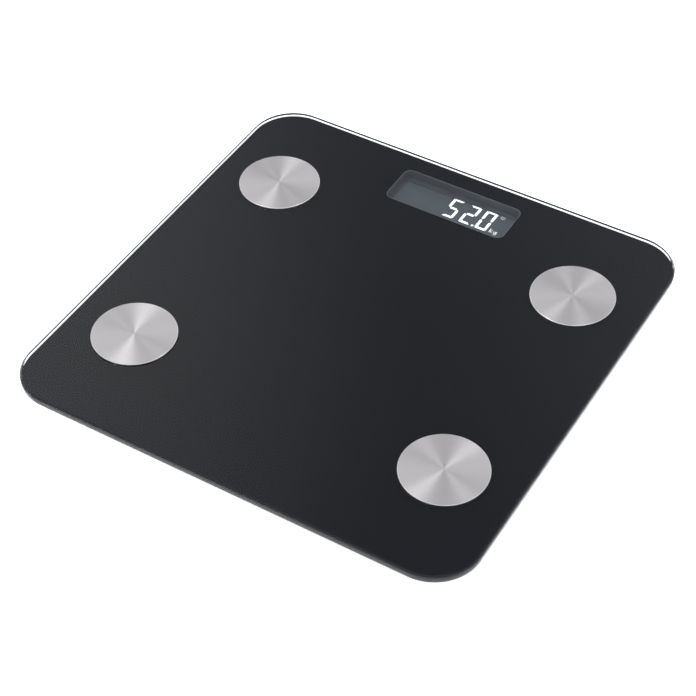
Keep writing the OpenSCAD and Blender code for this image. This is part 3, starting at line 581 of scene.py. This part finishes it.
zinc = metal("zinc_plate", (0.66, 0.67, 0.70), 0.28)
give(zinc, "electrode_washers", "electrode_nuts", "board_screws", "cover_screws")
give(metal("terminal_brass", (0.80, 0.62, 0.30), 0.3), "ring_terminals")
give(metal("cell_steel", (0.56, 0.56, 0.58), 0.34, (1, 0.05, 1)), *each("load_cell_"))
give(metal("switch_metal", (0.62, 0.62, 0.63), 0.3), "tact_switch")
give(metal("contact_nickel", (0.74, 0.72, 0.68), 0.25, (1, 1, 0.1)), "battery_springs", "battery_plates")
give(plastic("white_wire", (0.75, 0.75, 0.74), 0.42, 0.5, 0.01, 0.05), *each("electrode_lead_"))
give(plastic("red_wire", (0.45, 0.02, 0.02), 0.42, 0.5, 0.01, 0.1), "battery_leads", *each("load_cell_lead_"))
give(plastic("gauge_silicone", (0.78, 0.78, 0.75), 0.35, 1.6, 0.06, 0.05), "gauge_caps")
give(plastic("chip_resin", (0.015, 0.015, 0.016), 0.4, 0.6, 0.02), "mcu_chip")
give(plastic("socket_nylon", (0.72, 0.68, 0.56), 0.42, 0.5, 0.012, 0.05), "lead_sockets")
give(plastic("small_parts", (0.40, 0.31, 0.20), 0.38, 0.7, 0.015), "board_parts")

board = Mat("board_laminate", (0.02, 0.12, 0.05), 0.3)
tracks = board.node("ShaderNodeTexBrick")
tracks.inputs["Scale"].default_value = 420
tracks.inputs["Mortar Size"].default_value = 0.03
board.link(board.coords(), tracks.inputs["Vector"])
board.colour(board.mix(tracks.outputs["Fac"], (0.018, 0.11, 0.045), (0.03, 0.19, 0.08)))
board.height(tracks.outputs["Fac"], 0.03)
give(board, "main_board")

radio = Mat("module_laminate", (0.02, 0.05, 0.16), 0.3)
blotch = radio.ramp(radio.noise(1.1, 3), 0.45, 0.55, 0, 1)
radio.colour(radio.mix(blotch, (0.02, 0.045, 0.14), (0.03, 0.08, 0.24)))
give(radio, "wireless_module")

jacket = Mat("battery_jacket", (0.10, 0.12, 0.16), 0.32, 0.35)
t = jacket.node("ShaderNodeTexCoord")
sep = jacket.node("ShaderNodeSeparateXYZ")
jacket.link(t.outputs["Generated"], sep.inputs["Vector"])
band = jacket.ramp(sep.outputs["X"], 0.74, 0.745, 0, 1)
jacket.colour(jacket.mix(band, (0.045, 0.05, 0.06), (0.42, 0.30, 0.14)))
jacket.roughness(jacket.noise(1.2, 3), 0.26, 0.4)
give(jacket, "battery_1", "battery_2", "battery_3")


# ---------- camera, floor and light ----------


CAMERA_AZIMUTH, CAMERA_ELEVATION, CAMERA_ROLL = 31.86, 45.488, -1.113
CAMERA_AIM = Vector((0.008955, -0.022208, TOP))
CAMERA_DISTANCE = 0.9275
CAMERA_LENS, CAMERA_SENSOR = 94.575, 36


def camera():
    """The photo's own camera, looking at a point on top of the glass."""
    az, el, roll = map(math.radians, (CAMERA_AZIMUTH, CAMERA_ELEVATION, CAMERA_ROLL))
    back = Vector((math.sin(az) * math.cos(el), -math.cos(az) * math.cos(el), math.sin(el)))
    right = (-back).cross(Vector((0, 0, 1))).normalized()
    up = right.cross(-back)
    r2 = right * math.cos(roll) + up * math.sin(roll)
    u2 = -right * math.sin(roll) + up * math.cos(roll)
    data = bpy.data.cameras.new("camera")
    data.sensor_width = CAMERA_SENSOR
    data.lens = CAMERA_LENS
    data.clip_start, data.clip_end = 0.05, 50
    o = bpy.data.objects.new("camera", data)
    bpy.context.scene.collection.objects.link(o)
    at = CAMERA_AIM + back * CAMERA_DISTANCE
    o.matrix_world = Matrix.Translation(at) @ Matrix((r2, u2, back)).transposed().to_4x4()
    bpy.context.scene.camera = o


camera()

FLOOR_R, FLOOR_BOTTOM, FLOOR_TOP = 4.0, -0.02, -0.0002
bm = bmesh.new()
prism(bm, circle(FLOOR_R, 0, 0, 128), FLOOR_BOTTOM, FLOOR_TOP)
floor_mat = glowing("pale_floor", (0.93, 0.93, 0.93), 0.75, (1, 1, 1), 0.85)
floor_mat.roughness(floor_mat.noise(40, 2), 0.7, 0.8)
me = bpy.data.meshes.new("floor")
bm.to_mesh(me)
bm.free()
me.materials.append(floor_mat.m)
floor = bpy.data.objects.new("floor", me)
bpy.context.scene.collection.objects.link(floor)


def softbox(name, at, aim, size, watts):
    """A white rectangular light that is seen in reflections but not through the glass."""
    light = bpy.data.lights.new(name, "AREA")
    light.shape = "RECTANGLE"
    light.size, light.size_y = size
    light.energy = watts
    o = bpy.data.objects.new(name, light)
    bpy.context.scene.collection.objects.link(o)
    at, aim = Vector(at), Vector(aim)
    o.location = at
    o.rotation_mode = "QUATERNION"
    o.rotation_quaternion = (aim - at).to_track_quat("-Z", "Y")
    o.visible_transmission = False


softbox("top_left_box", (-0.55, 0.0, TOP + 1.4), (0, 0, TOP), (0.30, 0.40), 2.2)
softbox("top_right_box", (0.23, 0.17, TOP + 0.72), (0.09, 0, TOP), (0.16, 0.16), 0.28)

# Each patch of the sky is a direction, the cosines where it starts and is full, its change, and its blend.
# The first is darker, to the back right. The others are brighter, to the left and the back.
SKY_PATCHES = (
    ((-0.20, 0.58, 0.80), 0.80, 1.0, -0.56, "MULTIPLY"),
    ((-0.62, 0.40, 0.68), 0.935, 1.0, 0.50, "ADD"),
    ((0.05, 0.80, 0.60), 0.90, 1.0, 0.35, "ADD"),
)
SKY_STOPS = [(0.0, 0.95), (0.3, 0.86), (0.6, 0.80), (1.0, 0.78)]  # the height in the sky and its brightness
SKY_TINT = (0.97, 0.985, 1.04)


def world():
    """A pale studio sky with soft patches that the glass reflects."""
    w = bpy.data.worlds.new("studio")
    bpy.context.scene.world = w
    w.use_nodes = True
    nt = w.node_tree
    bg = nt.nodes["Background"]
    t = nt.nodes.new("ShaderNodeTexCoord")
    norm = nt.nodes.new("ShaderNodeVectorMath")
    norm.operation = "NORMALIZE"
    nt.links.new(t.outputs["Generated"], norm.inputs[0])
    sep = nt.nodes.new("ShaderNodeSeparateXYZ")
    nt.links.new(norm.outputs["Vector"], sep.inputs["Vector"])
    ramp = nt.nodes.new("ShaderNodeValToRGB")
    el = ramp.color_ramp.elements
    el[0].position, el[1].position = SKY_STOPS[0][0], SKY_STOPS[-1][0]
    for pos, _ in SKY_STOPS[1:-1]:
        el.new(pos)
    for e, (pos, v) in zip(el, SKY_STOPS):
        e.color = (*[v * tint for tint in SKY_TINT], 1)
    nt.links.new(sep.outputs["Z"], ramp.inputs["Fac"])
    out = ramp.outputs["Color"]
    for d, lo, hi, v, blend in SKY_PATCHES:
        dot = nt.nodes.new("ShaderNodeVectorMath")
        dot.operation = "DOT_PRODUCT"
        dot.inputs[1].default_value = Vector(d).normalized()
        nt.links.new(norm.outputs["Vector"], dot.inputs[0])
        mr = nt.nodes.new("ShaderNodeMapRange")
        mr.interpolation_type = "SMOOTHSTEP"
        start = 1 if blend == "MULTIPLY" else 0
        for k, x in (("From Min", lo), ("From Max", hi), ("To Min", start), ("To Max", start + v)):
            mr.inputs[k].default_value = x
        nt.links.new(dot.outputs["Value"], mr.inputs["Value"])
        mixer = nt.nodes.new("ShaderNodeMix")
        mixer.data_type = "RGBA"
        mixer.blend_type = blend
        mixer.inputs[0].default_value = 1
        cols = [i for i in mixer.inputs if i.type == "RGBA"]
        nt.links.new(out, cols[0])
        nt.links.new(mr.outputs["Result"], cols[1])
        out = [i for i in mixer.outputs if i.type == "RGBA"][0]
    nt.links.new(out, bg.inputs["Color"])
    bg.inputs["Strength"].default_value = 1.0


world()
bpy.context.scene.view_settings.view_transform = "Standard"
